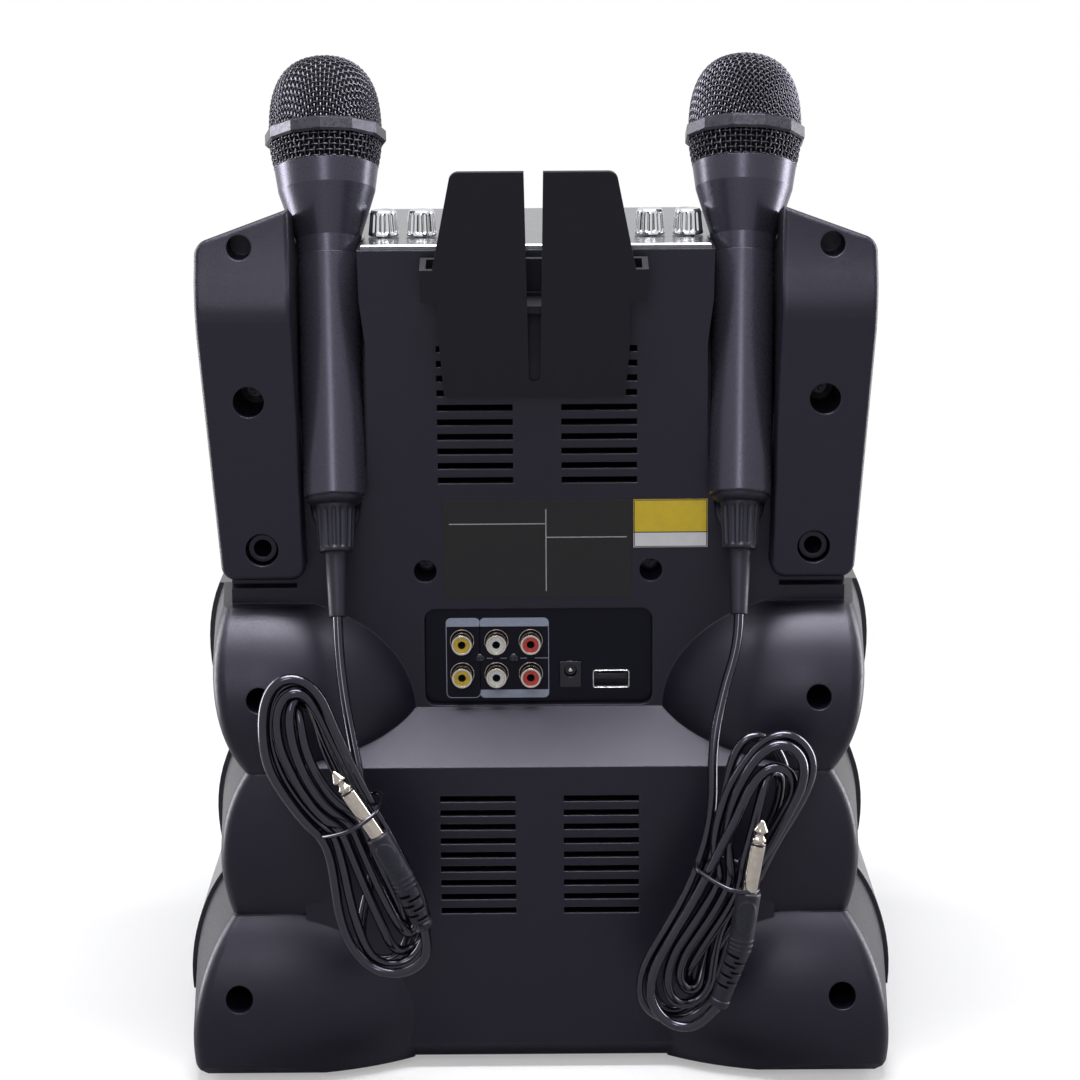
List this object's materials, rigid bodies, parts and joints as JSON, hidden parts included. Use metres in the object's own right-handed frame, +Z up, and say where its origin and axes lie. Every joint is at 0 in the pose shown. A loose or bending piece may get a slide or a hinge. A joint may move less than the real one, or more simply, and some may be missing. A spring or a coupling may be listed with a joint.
{
  "type": "karaoke machine",
  "caption": "Table-top karaoke machine with lobed casing, screen, motorised disc tray, woofer, rear jack panel, phone cradle and corded microphones docked in rear channels.",
  "frame": {"origin": "centre of the bounding box at the feet, cords left out", "axes": "+Z up, -Y towards the screen and disc tray, +Y towards the jacks, +X to the right of a person facing the screen"},
  "size_m": [0.2996, 0.2698, 0.4072],
  "materials": {
    "casing": "fine moulded texture",
    "front_casing": "polished",
    "soft_black": "matt",
    "drive_plastic": "matt",
    "top_plate": "satin",
    "knob_metal": "polished",
    "nickel": "polished",
    "steel": "plain",
    "black_steel": "satin",
    "handle_paint": "satin",
    "rubber": "matt",
    "window": "gloss",
    "lens": "diffusing",
    "cone": "pulp",
    "board": "solder mask",
    "yellow": "gloss",
    "white": "gloss",
    "red": "gloss",
    "label": "printed film",
    "sticker": "printed film"
  },
  "bodies": {
    "machine": {"rear_cover": "casing", "front_shell": "front_casing", "base_plate": "soft_black", "feet": "rubber", "top_panel": "top_plate", "cradle_rail": "soft_black", "screen_bezel": "front_casing", "screen_window": "window", "lcd_module": "drive_plastic", "drive_chassis": "drive_plastic", "woofer_frame": "black_steel", "speaker_grille": "black_steel", "light_lenses": "lens", "circuit_boards": "board", "jack_panel": "soft_black", "rca_sleeves": "nickel", "rca_yellow": "yellow", "rca_white": "white", "rca_red": "red", "dc_jack": "soft_black", "usb_port": "steel", "mic_sockets": "nickel", "rear_screws": "black_steel", "rating_label": "label", "stickers": "sticker"},
    "cradle": {"cradle": "soft_black"},
    "tray": {"disc_tray": "drive_plastic", "tray_door": "front_casing"},
    "tray_gear": {"tray_gear": "white"},
    "spindle": {"spindle": "drive_plastic"},
    "laser_sled": {"laser_sled": "drive_plastic"},
    "disc_clamp": {"disc_clamp": "drive_plastic"},
    "woofer_cone": {"woofer_cone": "cone"},
    "knob_1": {"knob_1": "knob_metal"},
    "knob_2": {"knob_2": "knob_metal"},
    "knob_3": {"knob_3": "knob_metal"},
    "knob_4": {"knob_4": "knob_metal"},
    "knob_5": {"knob_5": "knob_metal"},
    "knob_6": {"knob_6": "knob_metal"},
    "button_1": {"button_1": "front_casing"},
    "button_2": {"button_2": "front_casing"},
    "button_3": {"button_3": "front_casing"},
    "button_4": {"button_4": "front_casing"},
    "mic_left": {"mic_handle_left": "handle_paint", "mic_grille_left": "black_steel", "mic_ring_left": "handle_paint", "mic_strain_relief_left": "rubber", "mic_cord_left": "rubber", "mic_hank_left": "rubber", "mic_plug_left": "nickel", "mic_plug_boot_left": "rubber"},
    "mic_right": {"mic_handle_right": "handle_paint", "mic_grille_right": "black_steel", "mic_ring_right": "handle_paint", "mic_strain_relief_right": "rubber", "mic_cord_right": "rubber", "mic_hank_right": "rubber", "mic_plug_right": "nickel", "mic_plug_boot_right": "rubber"}
  },
  "joints": [
    {"name": "mic_lift_right", "type": "slide", "parent": "machine", "child": "mic_right", "axis": [0.03, 0, 0.9996], "range_m": [0, 0.25]},
    {"name": "mic_lift_left", "type": "slide", "parent": "machine", "child": "mic_left", "axis": [-0.03, 0, 0.9996], "range_m": [0, 0.25]},
    {"name": "cradle_lift", "type": "slide", "parent": "machine", "child": "cradle", "axis": [0, 0, 1], "range_m": [0, 0.12]},
    {"name": "tray_slide", "type": "slide", "parent": "machine", "child": "tray", "axis": [0, -1, 0], "range_m": [0, 0.12]},
    {"name": "tray_gear_spin", "type": "hinge", "parent": "machine", "child": "tray_gear", "pos_m": [0.0426, -0.088, 0.1752], "axis": [0, 0, 1], "range_deg": [-760, 0]},
    {"name": "spindle_spin", "type": "hinge", "parent": "machine", "child": "spindle", "pos_m": [0, -0.042, 0.1686], "axis": [0, 0, 1], "continuous": true},
    {"name": "clamp_spin", "type": "hinge", "parent": "machine", "child": "disc_clamp", "pos_m": [0, -0.042, 0.1856], "axis": [0, 0, 1], "continuous": true},
    {"name": "sled_slide", "type": "slide", "parent": "machine", "child": "laser_sled", "axis": [0, 1, 0], "range_m": [0, 0.036]},
    {"name": "cone_travel", "type": "slide", "parent": "machine", "child": "woofer_cone", "axis": [0, -1, 0], "range_m": [-0.0015, 0.0015], "stiffness_N_per_m": 1500},
    {"name": "knob_1_turn", "type": "hinge", "parent": "machine", "child": "knob_1", "pos_m": [-0.0613, 0.045, 0.336], "axis": [0, 0, 1], "range_deg": [-140, 140]},
    {"name": "knob_2_turn", "type": "hinge", "parent": "machine", "child": "knob_2", "pos_m": [-0.046, 0.045, 0.336], "axis": [0, 0, 1], "range_deg": [-140, 140]},
    {"name": "knob_3_turn", "type": "hinge", "parent": "machine", "child": "knob_3", "pos_m": [-0.0307, 0.045, 0.336], "axis": [0, 0, 1], "range_deg": [-140, 140]},
    {"name": "knob_4_turn", "type": "hinge", "parent": "machine", "child": "knob_4", "pos_m": [0.0307, 0.045, 0.336], "axis": [0, 0, 1], "range_deg": [-140, 140]},
    {"name": "knob_5_turn", "type": "hinge", "parent": "machine", "child": "knob_5", "pos_m": [0.046, 0.045, 0.336], "axis": [0, 0, 1], "range_deg": [-140, 140]},
    {"name": "knob_6_turn", "type": "hinge", "parent": "machine", "child": "knob_6", "pos_m": [0.0613, 0.045, 0.336], "axis": [0, 0, 1], "range_deg": [-140, 140]},
    {"name": "button_1_press", "type": "slide", "parent": "machine", "child": "button_1", "axis": [0, 1, 0], "range_m": [0, 0.0015], "stiffness_N_per_m": 400, "springref_m": -0.0008},
    {"name": "button_2_press", "type": "slide", "parent": "machine", "child": "button_2", "axis": [0, 1, 0], "range_m": [0, 0.0015], "stiffness_N_per_m": 400, "springref_m": -0.0008},
    {"name": "button_3_press", "type": "slide", "parent": "machine", "child": "button_3", "axis": [0, 1, 0], "range_m": [0, 0.0015], "stiffness_N_per_m": 400, "springref_m": -0.0008},
    {"name": "button_4_press", "type": "slide", "parent": "machine", "child": "button_4", "axis": [0, 1, 0], "range_m": [0, 0.0015], "stiffness_N_per_m": 400, "springref_m": -0.0008}
  ],
  "couplings": [
    {"joint": "tray_gear_spin", "follows": "tray_slide", "rad_per_m": -108.7},
    {"joint": "clamp_spin", "follows": "spindle_spin", "ratio": 1}
  ]
}
